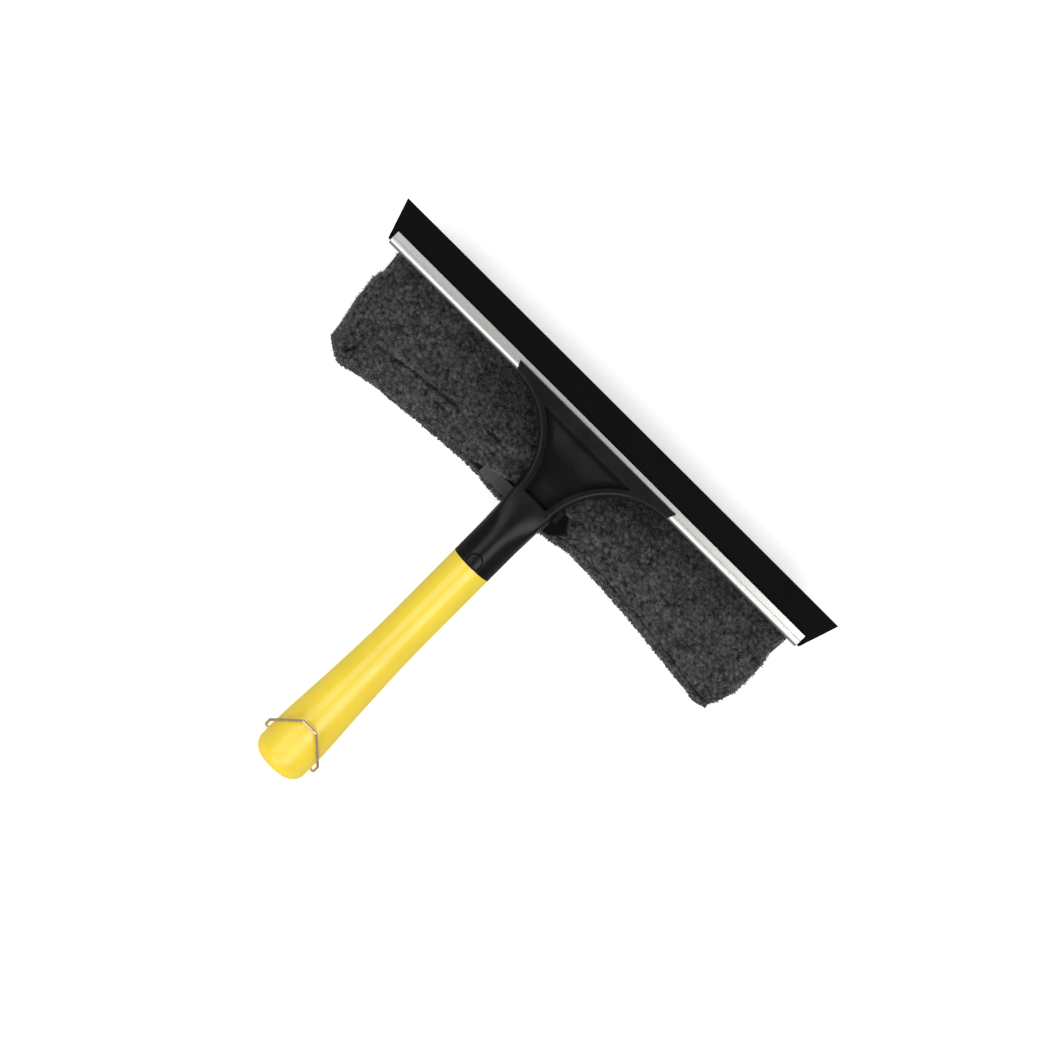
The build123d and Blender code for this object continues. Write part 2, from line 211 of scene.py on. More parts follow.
def ramp(tree, value, low, high, low_out=0.0, high_out=1.0):
    """Maps a value from one range to another with a smooth step."""
    return add_node(
        tree,
        "ShaderNodeMapRange",
        {"interpolation_type": "SMOOTHSTEP"},
        Value=value,
        From_Min=low,
        From_Max=high,
        To_Min=low_out,
        To_Max=high_out,
    ).outputs["Result"]


def arithmetic(tree, operation, first, second=0.0):
    """One sum, product, comparison or absolute value."""
    return add_node(
        tree, "ShaderNodeMath", {"operation": operation}, i0=first, i1=second
    ).outputs[0]


def mix_value(tree, factor, first, second):
    """A blend of two values."""
    return add_node(
        tree, "ShaderNodeMix", {"data_type": "FLOAT"}, i0=factor, i2=first, i3=second
    ).outputs[0]


def mix_colour(tree, factor, first, second):
    """A blend of two colours."""
    node = add_node(tree, "ShaderNodeMix", {"data_type": "RGBA"}, Factor=factor)
    for socket, value in ((node.inputs[6], first), (node.inputs[7], second)):
        if isinstance(value, bpy.types.NodeSocket):
            tree.links.new(value, socket)
        else:
            socket.default_value = value
    return node.outputs[2]


# %% [markdown]
# ## Shared effects
# Moulded plastic has a fine grain, and every used surface has faint smears that change how
# it shines. Both are made once as groups, and each material places them with its own values.

# %% Grain and smear groups


def build_grain():
    """Fine bumps: two sizes of noise on object coordinates, mixed into one height."""
    tree, given, out = start_group(
        "moulded_grain",
        [("Vector", "NodeSocketVector", None), ("Scale", "NodeSocketFloat", 1500.0),
         ("Coarseness", "NodeSocketFloat", 0.3)],
        [("Height", "NodeSocketFloat")],
    )
    fine = add_node(
        tree, "ShaderNodeTexNoise", Vector=given["Vector"], Scale=given["Scale"], Detail=2.0
    )
    coarse = add_node(
        tree,
        "ShaderNodeTexNoise",
        Vector=given["Vector"],
        Scale=arithmetic(tree, "MULTIPLY", given["Scale"], 0.17),
        Detail=1.0,
    )
    mixed = mix_value(tree, given["Coarseness"], fine.outputs[0], coarse.outputs[0])
    tree.links.new(mixed, out["Height"])
    return tree


def build_smears():
    """A roughness that varies in soft cloudy patches, and the patches themselves as a mask."""
    tree, given, out = start_group(
        "handling_smears",
        [("Vector", "NodeSocketVector", None), ("Scale", "NodeSocketFloat", 40.0),
         ("Low", "NodeSocketFloat", 0.3), ("High", "NodeSocketFloat", 0.45)],
        [("Roughness", "NodeSocketFloat"), ("Mask", "NodeSocketFloat")],
    )
    clouds = add_node(
        tree,
        "ShaderNodeTexNoise",
        Vector=given["Vector"],
        Scale=given["Scale"],
        Detail=4.0,
        Roughness=0.6,
    )
    mask = ramp(tree, clouds.outputs[0], 0.35, 0.7)
    tree.links.new(mix_value(tree, mask, given["Low"], given["High"]), out["Roughness"])
    tree.links.new(mask, out["Mask"])
    return tree


grain_group = build_grain()
smear_group = build_smears()
print("shared groups:", grain_group.name, "and", smear_group.name)


def place_group(tree, group, **inputs):
    """Puts a shared group into a material with its own values; gives its outputs."""
    return add_node(tree, "ShaderNodeGroup", {"node_tree": group}, **inputs).outputs


def start_material(name, **constants):
    """A material with one Principled shader; the constants are set on the shader's own sockets."""
    material = bpy.data.materials.new(name)
    material.use_nodes = True
    tree = material.node_tree
    shader = tree.nodes["Principled BSDF"]
    for label, value in constants.items():
        shader.inputs[label.replace("_", " ")].default_value = value
    coordinates = tree.nodes.new("ShaderNodeTexCoord").outputs["Object"]
    return material, tree, shader, coordinates


def link_bump(tree, shader, height, strength, depth):
    """A bump of a given depth in metres on the shader's normal."""
    bump = add_node(tree, "ShaderNodeBump", Height=height, Strength=strength, Distance=depth)
    tree.links.new(bump.outputs[0], shader.inputs["Normal"])


# %% [markdown]
# ## Black plastic
# The head is one satin moulding with a fine sparkle of grain. The thin web inside its recess
# was polished in the mould, so it is glossier than the ribs: most of all along its rim and in
# the middle, less towards the blade. The pattern is turned into the tool's own directions by a
# Mapping node. There the depth n tells web from rib, and the rim follows from the circle that
# the rib is cut along.

# %% Black plastic
SCALLOP_CENTRE = (53.8, 44.0)  # (x, w) in mm, the middle of the round scallop on the right
RIB_RADIUS = 46.2  # mm, from there to the recess
RECESS_HIGH_W = 84.0  # the recess's edge towards the blade
WEB_DEPTH = (0.0021, 0.0024)  # metres: the web lies within the first, the ribs beyond the second
RIM_WIDTH = (0.001, 0.0045)  # metres from the rim where the gloss starts and stops fading
DULL_FROM_TO = (0.066, 0.078)  # metres along w, towards the blade
DULL_TO_NECK = (0.061, 0.055)  # metres along w, towards the neck, where it is half as dull
WEB_GLOSS = 0.1  # roughness of the well polished parts of the web
WEB_DULL = 0.46  # roughness of the web towards the blade


def tool_coordinates(tree, coordinates):
    """Object coordinates, shifted and turned so that X, Y and Z are the tool's x, w and n in metres."""
    shifted = add_node(
        tree,
        "ShaderNodeVectorMath",
        {"operation": "SUBTRACT"},
        i0=coordinates,
        i1=tuple(float(value) for value in grip_joint),
    )
    return add_node(
        tree,
        "ShaderNodeMapping",
        {"vector_type": "POINT"},
        Vector=shifted.outputs[0],
        Rotation=(-tilt, 0.0, 0.0),
    ).outputs[0]


def web_roughness(tree, turned, mottle):
    """Roughness of the web from w and the distance to the rim, the nearer of rib and top edge."""
    parts = add_node(tree, "ShaderNodeSeparateXYZ", Vector=turned).outputs
    side = arithmetic(tree, "ABSOLUTE", parts[0])
    flat = add_node(tree, "ShaderNodeCombineXYZ", X=side, Y=parts[1]).outputs[0]
    centre = (SCALLOP_CENTRE[0] * MM, SCALLOP_CENTRE[1] * MM, 0.0)
    reach = add_node(tree, "ShaderNodeVectorMath", {"operation": "DISTANCE"}, i0=flat, i1=centre)
    from_rib = arithmetic(tree, "SUBTRACT", reach.outputs[1], RIB_RADIUS * MM)
    from_top = arithmetic(tree, "SUBTRACT", RECESS_HIGH_W * MM, parts[1])
    off_rim = ramp(tree, arithmetic(tree, "MINIMUM", from_rib, from_top), *RIM_WIDTH)
    towards_blade = ramp(tree, parts[1], *DULL_FROM_TO)
    towards_neck = ramp(tree, parts[1], *DULL_TO_NECK, 0.0, 0.5)
    dull = arithmetic(tree, "MAXIMUM", towards_blade, towards_neck)
    patchy = ramp(tree, mottle, 0.0, 1.0, 0.7, 1.0)
    mask = arithmetic(tree, "MULTIPLY", arithmetic(tree, "MULTIPLY", off_rim, dull), patchy)
    return mix_value(tree, mask, WEB_GLOSS, WEB_DULL)


def black_plastic(name, colour, low, high, polished_web=False):
    """Dark satin plastic with grain, smears and, if asked, the polished web of the recess."""
    material, tree, shader, coordinates = start_material(name, Specular_IOR_Level=0.165)
    smears = place_group(tree, smear_group, Vector=coordinates, Scale=55.0, Low=low, High=high)
    roughness = smears["Roughness"]
    if polished_web:
        turned = tool_coordinates(tree, coordinates)
        parts = add_node(tree, "ShaderNodeSeparateXYZ", Vector=turned)
        depth = arithmetic(tree, "ABSOLUTE", parts.outputs[2])
        on_web = ramp(tree, depth, *WEB_DEPTH, 1.0, 0.0)
        roughness = mix_value(tree, on_web, roughness, web_roughness(tree, turned, smears["Mask"]))
    tree.links.new(roughness, shader.inputs["Roughness"])
    dusty = [value * 1.3 + 0.001 for value in colour]
    tone = mix_colour(tree, smears["Mask"], (*colour, 1), (*dusty, 1))
    tree.links.new(tone, shader.inputs["Base Color"])
    grain = place_group(tree, grain_group, Vector=coordinates, Scale=1900.0, Coarseness=0.35)
    link_bump(tree, shader, grain["Height"], 0.35, 0.00012)
    return material


# %% [markdown]
# ## Yellow plastic
# The grip is a smooth, fairly glossy moulding. Its colour deepens slightly in patches, and a
# very shallow ripple breaks up the highlight as it does on a real moulding.

# %% Yellow plastic


def yellow_plastic():
    """Glossy yellow with a faint ripple and slow changes of tone."""
    material, tree, shader, coordinates = start_material("grip_yellow", Specular_IOR_Level=0.85)
    tone = add_node(tree, "ShaderNodeTexNoise", Vector=coordinates, Scale=38.0, Detail=3.0)
    colour = mix_colour(
        tree, ramp(tree, tone.outputs[0], 0.3, 0.7), (0.915, 0.69, 0.022, 1), (0.87, 0.63, 0.018, 1)
    )
    tree.links.new(colour, shader.inputs["Base Color"])
    smears = place_group(tree, smear_group, Vector=coordinates, Scale=70.0, Low=0.35, High=0.44)
    tree.links.new(smears["Roughness"], shader.inputs["Roughness"])
    grain = place_group(tree, grain_group, Vector=coordinates, Scale=1100.0, Coarseness=0.6)
    link_bump(tree, shader, grain["Height"], 0.12, 0.0001)
    return material


# %% [markdown]
# ## Rubber
# The blade is a dense black rubber with a hint of blue. Its faces carry very fine lines
# along their length from the extrusion, and a grey bloom in soft patches.

# %% Rubber


def blade_rubber():
    """Matte rubber: stretched noise for the drawn lines, a cloudy bloom for the colour."""
    material, tree, shader, coordinates = start_material("blade_rubber", Specular_IOR_Level=0.075)
    turned = tool_coordinates(tree, coordinates)
    stretched = add_node(tree, "ShaderNodeMapping", Vector=turned, Scale=(6.0, 900.0, 900.0))
    lines = add_node(tree, "ShaderNodeTexNoise", Vector=stretched.outputs[0], Scale=1.0, Detail=2.0)
    smears = place_group(tree, smear_group, Vector=coordinates, Scale=28.0, Low=0.5, High=0.66)
    tree.links.new(smears["Roughness"], shader.inputs["Roughness"])
    colour = mix_colour(tree, smears["Mask"], (0.0008, 0.0008, 0.0013, 1), (0.0015, 0.0015, 0.0024, 1))
    tree.links.new(colour, shader.inputs["Base Color"])
    link_bump(tree, shader, lines.outputs[0], 0.25, 0.00008)
    return material


# %% [markdown]
# ## Metals
# The channel is drawn aluminium with a satin anodised skin: its lines run along the blade.
# The bail is bright steel wire, and the screws and the hidden spring are plated steel.

# %% Metals


def drawn_aluminium():
    """Satin metal with lines along x, made by stretching noise hard in that direction."""
    material, tree, shader, coordinates = start_material("drawn_aluminium", Metallic=1.0)
    turned = tool_coordinates(tree, coordinates)
    stretched = add_node(tree, "ShaderNodeMapping", Vector=turned, Scale=(9.0, 2600.0, 2600.0))
    lines = add_node(tree, "ShaderNodeTexNoise", Vector=stretched.outputs[0], Scale=1.0, Detail=3.0)
    colour = mix_colour(tree, lines.outputs[0], (0.565, 0.565, 0.55, 1), (0.6, 0.6, 0.585, 1))
    tree.links.new(colour, shader.inputs["Base Color"])
    tree.links.new(ramp(tree, lines.outputs[0], 0.2, 0.8, 0.26, 0.31), shader.inputs["Roughness"])
    link_bump(tree, shader, lines.outputs[0], 0.05, 0.00003)
    return material


def bright_steel(name, colour, low, high, scale):
    """Polished or plated steel with faint smears and a fine grain."""
    material, tree, shader, coordinates = start_material(name, Metallic=1.0)
    smears = place_group(tree, smear_group, Vector=coordinates, Scale=scale, Low=low, High=high)
    tree.links.new(smears["Roughness"], shader.inputs["Roughness"])
    tone = mix_colour(tree, smears["Mask"], (*colour, 1), (*(value * 0.82 for value in colour), 1))
    tree.links.new(tone, shader.inputs["Base Color"])
    grain = place_group(tree, grain_group, Vector=coordinates, Scale=2400.0, Coarseness=0.5)
    link_bump(tree, shader, grain["Height"], 0.1, 0.00005)
    return material


# %% Dress the hard parts


def dress(node_name, finish):
    """Gives a hard part its one material."""
    mesh = frame["nodes"][node_name].data
    mesh.materials.clear()
    mesh.materials.append(finish)


head_plastic = black_plastic("head_plastic", (0.0032, 0.0035, 0.0035), 0.27, 0.37, polished_web=True)
bar_plastic = black_plastic("bar_plastic", (0.0025, 0.0027, 0.003), 0.4, 0.5)
plated_steel = bright_steel("plated_steel", (0.62, 0.61, 0.6), 0.2, 0.34, 220.0)
finishes = {
    "squeegee_head": head_plastic,
    "release_button": head_plastic,
    "scrubber_bar": bar_plastic,
    "handle_grip": yellow_plastic(),
    "rubber_blade": blade_rubber(),
    "blade_channel": drawn_aluminium(),
    "hanging_bail": bright_steel("wire_steel", (0.88, 0.72, 0.54), 0.22, 0.34, 300.0),
    "channel_screw_left": plated_steel,
    "channel_screw_right": plated_steel,
    "button_spring": plated_steel,
}
for node_name, finish in finishes.items():
    dress(node_name, finish)
print("dressed", len(finishes), "hard parts")

# %% [markdown]
# ## Noise as plain arithmetic
# The sleeve's folds and tufts are worked out with numpy. Two kinds of noise are enough: a
# smooth one for folds, and a cellular one whose cells are the tufts of the pile. Both start
# from a hash, which turns whole numbers into the same random-looking fractions every time.

# %% Noise


def hashed(cells, seed):
    """Three fractions for each whole-number triple: a weighted sum of the three, through sines so
    steep that neighbours get unlike values, and of that only what follows the point."""
    mixed = cells[..., 0] * 127.1 + cells[..., 1] * 311.7 + cells[..., 2] * 74.7 + seed * 19.19
    spread = np.sin(np.stack([mixed, mixed * 1.31 + 4.7, mixed * 1.73 + 9.2], axis=-1)) * 43758.5453
    return spread - np.floor(spread)


def smooth_noise(points, size, seed):
    """Value noise from -1 to 1: random values on a lattice of that size, blended by smooth steps."""
    scaled = points / size
    base = np.floor(scaled)
    part = scaled - base
    ease = part * part * (3 - 2 * part)
    total = np.zeros(points.shape[:-1])
    for corner in itertools.product((0, 1), repeat=3):
        weight = np.prod(np.where(np.array(corner) == 1, ease, 1 - ease), axis=-1)
        total += weight * hashed(base + np.array(corner), seed)[..., 0]
    return total * 2 - 1


def cell_noise(points, size, seed):
    """Distance to the nearest dot, where each cube of the given size has one dot at a random
    place, and that dot's own fraction."""
    scaled = points / size
    base = np.floor(scaled)
    nearest = np.full(points.shape[:-1], 9.0)
    owner = np.zeros(points.shape[:-1])
    for step in itertools.product((-1, 0, 1), repeat=3):
        cell = base + np.array(step)
        jitter = hashed(cell, seed)
        gap = np.linalg.norm(cell + jitter - scaled, axis=-1)
        closer = gap < nearest
        nearest = np.where(closer, gap, nearest)
        owner = np.where(closer, jitter[..., 2], owner)
    return nearest, owner


# %% [markdown]
# ## The shape of the sleeve
# The sleeve is a padded tube, sewn shut at both ends, with a mouth in the middle where the
# bar's stem comes out. Its outline is a few points along the lower edge and down each end.
# Round the bar it is a squashed circle: flat where it lies on the floor, flat and a little
# crumpled on the front, round at the two long edges.

# %% Outline of the sleeve
LOWER_EDGE = np.array([
    (-136, 31.6), (-132, 28.6), (-127, 24.9), (-122.5, 22.4), (-118, 24.3), (-100, 27.9),
    (-85, 28.9), (-70, 30.6), (-55, 31.7), (-40, 32.9), (-30, 32.6), (-20, 31.4), (-10, 31.0),
    (0, 31.8), (12, 33.2), (20, 35.0), (30, 37.2), (45, 36.8), (60, 36.0), (80, 34.4),
    (100, 32.4), (118, 30.4), (131, 28.6), (136, 30.6),
])  # (x, w)
LEFT_END = np.array([
    (24, -132.5), (31, -133.7), (38, -134.6), (50, -137.4), (60, -138.6), (67, -139.4),
    (72, -138), (76, -136.4), (80, -137.6), (88, -139), (96, -138.8),
])  # (w, x)
RIGHT_END = np.array([
    (24, 134), (31, 135.6), (35, 137.4), (40, 139.5), (45, 141.2), (58, 141.5), (66, 141.3), (71, 140),
    (76, 138.7), (82, 140.2), (88, 140.8), (96, 140.3),
])  # (w, x)
CORNER_X = (-134.0, 136.0)  # where the two ends meet the lower edge
TOP_EDGE_W = 94.6
FRONT_N = -10.5  # the front's mean level
TOWARDS_BLADE = (56, 92, 2.2)  # from and to which w the front sinks under the bracket, and how far
MOUTH_N = -14.7  # the bottom of the mouth
SEAT_N = -13.6  # the strap's seat
NECK_N = -12.4  # the pile pressed flat behind the neck
NECK_HALF = 13.9  # half the width of that pressed strip
NECK_TOP = (54, 58)  # the w where it starts and stops fading
CLEAR_OF_FLOOR = 0.25  # mm that the underside's flat stays above the floor
LOWEST = 0.00005  # metres: no point of the pile goes below this height
MOUTH = np.array([(-9, 51), (19, 51.5), (24.3, 43.6), (15.5, 34.0), (-9, 35)])
# The slit is pressed in, and its colour is painted near black as the shadow in that gap.
SLIT = np.array([(-42.0, 34.4), (-29.0, 40.2), (-27.0, 33.6)])  # the dark gap at the strap's end
# The strap's seat: its upper edge slants, as the pile hangs over the strap on the left.
SEAT = np.array([(-32.0, 34.6), (-30.5, 37.6), (-25, 39.6), (-14.5, 44.6), (15.0, 44.6), (15.0, 34.4)])


SOFTENED = 1.6  # mm to each side


def through(points, values):
    """A curve through (place, value) points: straight runs, softened by averaging over 3 mm."""
    spread = np.linspace(-SOFTENED, SOFTENED, 5)
    return np.mean([np.interp(values + step, points[:, 0], points[:, 1]) for step in spread], axis=0)


def run_distance(x, w, start, end):
    """Distance in mm to one straight run: to its nearest point, which is held between its ends."""
    span = end - start
    share = np.clip(((x - start[0]) * span[0] + (w - start[1]) * span[1]) / (span @ span), 0, 1)
    return np.hypot(x - start[0] - share * span[0], w - start[1] - share * span[1])


def polygon_gap(x, w, corners):
    """Signed distance in mm to a closed outline: below zero inside it. A point is inside when a
    line from it crosses the outline an odd number of times."""
    inside = np.zeros(x.shape, dtype=bool)
    nearest = np.full(x.shape, 1e9)
    for start, end in zip(corners, np.roll(corners, -1, axis=0)):
        nearest = np.minimum(nearest, run_distance(x, w, start, end))
        span = end - start
        crosses = (start[1] > w) != (end[1] > w)
        at_x = start[0] + (w - start[1]) * span[0] / (span[1] if span[1] else 1e-9)
        inside ^= crosses & (x < at_x)
    return np.where(inside, -nearest, nearest)


def soft_step(values, low, high):
    """0 below low, 1 above high, and a smooth step between."""
    share = np.clip((values - low) / (high - low), 0, 1)
    return share * share * (3 - 2 * share)


# The folds: on the left the sleeve's own flap ends in a long curved edge, on the right a
# hem runs along the lower edge. Each has its points, a width and a depth in mm.
# (x, w)
FLAP_LINE = np.array([
    (-123, 29), (-121, 33), (-119, 39), (-115, 42.6), (-104, 45.2),
    (-90, 47.8), (-75, 49.6), (-62, 50.4), (-52, 52.6), (-34, 53.4),
])
FLAP_WIDTH = 0.95
FLAP_DEPTH = 2.6
# (x, mm above the lower edge)
HEM_LIFT = np.array([(20, 4.8), (31, 5.0), (60, 4.8), (89, 4.8), (118, 4.2), (130, 4.0)])
HEM_WIDTH = 0.8
HEM_DEPTH = 1.8


def line_gap(x, w, corners):
    """Distance in mm to the nearest of the straight runs between the given corners."""
    nearest = np.full(x.shape, 1e9)
    for start, end in zip(corners[:-1], corners[1:]):
        nearest = np.minimum(nearest, run_distance(x, w, start, end))
    return nearest


def fold_depth(x, w, low_w):
    """How much deeper the front lies at the flap's edge and the hem: a bell over each distance."""
    flat = np.stack([x, w, np.full_like(x, 9.0)], axis=-1)
    wander = 0.7 * smooth_noise(flat, 4.0, 61)
    open_here = soft_step(smooth_noise(flat, 6.5, 67), -0.7, 0.35)
    flap = np.exp(-(((line_gap(x, w, FLAP_LINE) + wander) / FLAP_WIDTH) ** 2)) * open_here
    hem_w = low_w + np.interp(x, HEM_LIFT[:, 0], HEM_LIFT[:, 1])
    hem = np.exp(-(((w - hem_w + wander) / HEM_WIDTH) ** 2)) * soft_step(x, 17, 24)
    return FLAP_DEPTH * flap + HEM_DEPTH * hem * (0.4 + 0.6 * open_here)


# Where the pile stands higher: its middle (x, w), half sizes, how far it slants, height in mm.
PUFFS = {
    "above the flap's end": ((-43, 58), (11.0, 3.6), 0.15, 1.2),
    "over the strap": ((-24, 43.0), (8.0, 3.0), 0.25, 3.2),
    "right of the mouth": ((30, 45), (9.0, 6.0), 0.0, 0.9),
}
NECK_PUFF = ((-15, 46.6), (10.0, 5.0), 5.3)


def puff_height(x, w):
    """Bells over the distance to each puff's middle. The one beside the neck has a steep edge."""
    (middle_x, middle_w), (half_x, half_w), rise = NECK_PUFF
    bell = np.exp(-(((x - middle_x) / half_x) ** 2) - ((w - middle_w) / half_w) ** 4)
    height = rise * soft_step(-x, 12.9, 14.0) * bell
    for (middle_x, middle_w), (half_x, half_w), slant, rise in PUFFS.values():
        off_w = w - middle_w - slant * (x - middle_x)
        height = height + rise * np.exp(-(((x - middle_x) / half_x) ** 2) - (off_w / half_w) ** 2)
    return height


RING_POWER_W = 0.55  # below 1 squares the circle off
RING_POWER_H = 0.62
RING_HALF_SIZES = (31.0, 15.0)  # mm, only for spacing the points


def signed_power(value, power):
    """A power that keeps its sign, which turns a circle into a superellipse."""
    return np.sign(value) * np.abs(value) ** power


def even_angles(count):
    """Angles that put points at equal distances round the ring: its running length, inverted."""
    fine = np.linspace(0, 2 * np.pi, 6001)
    ring = np.stack([
        RING_HALF_SIZES[0] * signed_power(np.cos(fine), RING_POWER_W),
        RING_HALF_SIZES[1] * signed_power(np.sin(fine), RING_POWER_H),
    ])
    run = np.concatenate([[0], np.cumsum(np.hypot(*np.diff(ring, axis=1)))])
    return np.interp(np.arange(count) / count * run[-1], run, fine)


def sleeve_surface(along_share, angle):
    """Points of the sleeve in metres. along_share runs from -1 to 1 between the two sewn ends.
    angle runs once round the bar. The tube's half sizes shrink to nothing at the ends as a
    superellipse does, and the mouth and the strap's seat are pressed into the front."""
    corner_x = np.where(along_share < 0, -CORNER_X[0], CORNER_X[1])
    low_w = through(LOWER_EDGE, corner_x * along_share)
    end_share = np.abs(along_share)
    end_height = (1 - end_share**26) ** (1 / 3.2)
    sine = np.sin(angle)
    ring_w = signed_power(np.cos(angle), RING_POWER_W)
    ring_h = signed_power(sine, RING_POWER_H)
    middle_w = (low_w + TOP_EDGE_W) / 2
    half_w = (TOP_EDGE_W - low_w) / 2
    w = middle_w + half_w * ring_w
    x = along_share * np.where(along_share < 0, -through(LEFT_END, w), through(RIGHT_END, w))
    flat = np.stack([x, w, np.zeros_like(x)], axis=-1)

    # How deep the front lies at each place, before it is carried round the tube. It sinks
    # towards the blade, where the bracket presses it, and at the two folds.
    sag = 0.9 * smooth_noise(flat, 34.0, 3) + 0.5 * smooth_noise(flat, 13.0, 5)
    sunk_from, sunk_to, sunk_depth = TOWARDS_BLADE
    front_n = FRONT_N + sag - sunk_depth * soft_step(w, sunk_from, sunk_to)
    front_n = front_n - fold_depth(x, w, low_w) + puff_height(x, w)
    top_height = (front_n - height_to_n(w, 0.0)) * front[2]
    height = top_height / 2 * (1 + ring_h * end_height)
    height = np.where(sine < 0, np.maximum(height, CLEAR_OF_FLOOR), height)
    n = height_to_n(w, height)

    # The mouth and the seat are pressed in where the front faces up, and so is the pile
    # behind the neck.
    facing = soft_step(sine, 0.05, 0.3)
    mouth_gap = np.minimum(polygon_gap(x, w, MOUTH), polygon_gap(x, w, SLIT))
    seat_gap = polygon_gap(x, w, SEAT)
    behind_neck = soft_step(NECK_HALF - np.abs(x), 0, 0.9) * (1 - soft_step(w, *NECK_TOP))
    for pressed, bottom_n in (
        (1 - soft_step(mouth_gap, -1.6, 0.6), MOUTH_N),
        (1 - soft_step(seat_gap, -1.0, 0.9), SEAT_N),
        (behind_neck, NECK_N),
    ):
        n = n + facing * pressed * np.minimum(bottom_n - n, 0)
    return place(x, w, n), np.minimum(mouth_gap, seat_gap)


# %% [markdown]
# ## From surface to pile
# The surface is sampled on a fine grid. Each point is then pushed out along its normal by the cell
# noise, which leaves rounded tufts with narrow hollows between them, and pulled in where the pile parts
# in short gaps. The same heights set the painted shade of the pile's colour: dark in the hollows and
# gaps, lighter on the tips.

# %% Grid helpers


def grid_normals(points):
    """Unit normals of a grid closed in its second direction: cross product of the differences."""
    du = np.gradient(points, axis=0)
    dv = (np.roll(points, -1, axis=1) - np.roll(points, 1, axis=1)) / 2
    normal = np.cross(dv, du)
    length = np.linalg.norm(normal, axis=-1, keepdims=True)
    return normal / np.maximum(length, 1e-12)


def tube_faces(rows, columns):
    """Corner numbers of the quads of a tube, and of the fans that close its two ends. They go
    round in the order that turns the faces outward where the columns start at the side of the
    blade and run over the front first."""
    number = np.arange(rows * columns).reshape(rows, columns)
    right = np.roll(number, -1, axis=1)
    quads = np.stack([number[:-1], right[:-1], right[1:], number[1:]], axis=-1).reshape(-1, 4)
    first, last = rows * columns, rows * columns + 1
    start_fan = np.stack([np.full(columns, first), right[0], number[0]], axis=-1)
    end_fan = np.stack([np.full(columns, last), number[-1], right[-1]], axis=-1)
    return quads, np.concatenate([start_fan, end_fan])


def build_mesh(name, points, quads, triangles, smooth=True):
    """A mesh object from arrays: all corners in one list, with each face's first corner."""
    mesh = bpy.data.meshes.new(name)
    loops = np.concatenate([quads.ravel(), triangles.ravel()]).astype(np.int32)
    starts = np.concatenate([
        np.arange(len(quads)) * 4,
        len(quads) * 4 + np.arange(len(triangles)) * 3,
    ]).astype(np.int32)
    mesh.vertices.add(len(points))
    mesh.vertices.foreach_set("co", np.ascontiguousarray(points, dtype=np.float32).ravel())
    mesh.loops.add(len(loops))
    mesh.loops.foreach_set("vertex_index", loops)
    mesh.polygons.add(len(starts))
    mesh.polygons.foreach_set("loop_start", starts)
    mesh.update(calc_edges=True)
    mesh.polygons.foreach_set("use_smooth", np.full(len(starts), smooth))
    mesh.validate()
    made = bpy.data.objects.new(name, mesh)
    bpy.context.collection.objects.link(made)
    print(name, "has", len(starts), "faces")
    return made


def set_attribute(made, name, values):
    """One number for each point of a mesh, which its material can read."""
    attribute = made.data.attributes.new(name, "FLOAT", "POINT")
    attribute.data.foreach_set("value", np.ascontiguousarray(values, dtype=np.float32).ravel())


# %% The sleeve's body
SLEEVE_ROWS = 430
SLEEVE_COLUMNS = 340
PILE_DEPTH = 1.0  # mm
TUFT = 2.3  # mm between tufts
PARTING = 1.5  # mm, the size of the dark gaps where the pile parts

ease_ends = np.sin(np.linspace(-1, 1, SLEEVE_ROWS) * np.pi / 2)
even = np.linspace(-1, 1, SLEEVE_ROWS)
along_share = (0.86 * even + 0.14 * ease_ends)[:, None] * 0.9995
along_share, ring_angle = np.broadcast_arrays(along_share, even_angles(SLEEVE_COLUMNS)[None, :])
base_points, opening_gap = sleeve_surface(along_share, ring_angle)
base_normals = grid_normals(base_points)
outward = np.sign(np.sum(base_normals * (base_points - base_points.mean(axis=1, keepdims=True))))
base_normals = base_normals * outward

in_mm = base_points / MM
tuft_gap, tuft_tone = cell_noise(in_mm, TUFT, 11)
fine_gap, _ = cell_noise(in_mm + 31.0, TUFT / 2, 17)
clumps = smooth_noise(in_mm, 7.0, 23)
parting = -smooth_noise(in_mm, PARTING, 29) - 0.55 * smooth_noise(in_mm, PARTING / 2, 31)
pits = soft_step(parting, 0.12, 0.95)
tufts = (1 - np.clip(tuft_gap, 0, 1)) + 0.35 * (1 - np.clip(fine_gap, 0, 1))
bump = tufts + 0.15 * clumps + 0.12 - 0.47 * pits
on_pile = soft_step(opening_gap, -1.5, 0.5)
tool_x = in_mm[..., 0]
tool_w = (base_points - grip_joint) @ along / MM
off_floor = soft_step(in_mm[..., 2], 0.0, 2.0)
lift = PILE_DEPTH * (bump - 0.75) * on_pile * (0.25 + 0.75 * off_floor)
pile_points = base_points + base_normals * (lift * MM)[..., None]
pile_points[..., 2] = np.maximum(pile_points[..., 2], LOWEST)

# Painted shade: the pile's colour is darkened under the bracket, towards the channel and inside the
# folds, where less light gets between the tufts.
low_edge_here = through(LOWER_EDGE, tool_x)
under_bracket = soft_step(tool_w, 50, 78) * np.exp(-((tool_x / 78.0) ** 2))
towards_channel = soft_step(tool_w, 62, 90)
in_fold = fold_depth(tool_x, tool_w, low_edge_here) / FLAP_DEPTH
painted_shade = np.clip(0.5 * under_bracket + 0.2 * towards_channel + 0.8 * in_fold, 0, 0.85)

sleeve_quads, sleeve_fans = tube_faces(SLEEVE_ROWS, SLEEVE_COLUMNS)
end_points = np.stack([pile_points[0].mean(axis=0), pile_points[-1].mean(axis=0)])
all_points = np.concatenate([pile_points.reshape(-1, 3), end_points])
sleeve = build_mesh("sleeve_pile", all_points, sleeve_quads, sleeve_fans)
# Painted light and shade of the pile: lighter on the tufts' tips, darker in the hollows and gaps,
# darker still in the sheltered places.
pile_painted_light = np.concatenate([(bump * (1 - painted_shade) * on_pile).ravel(), [0.7, 0.7]])
tone = np.concatenate([tuft_tone.ravel(), [0.5, 0.5]])
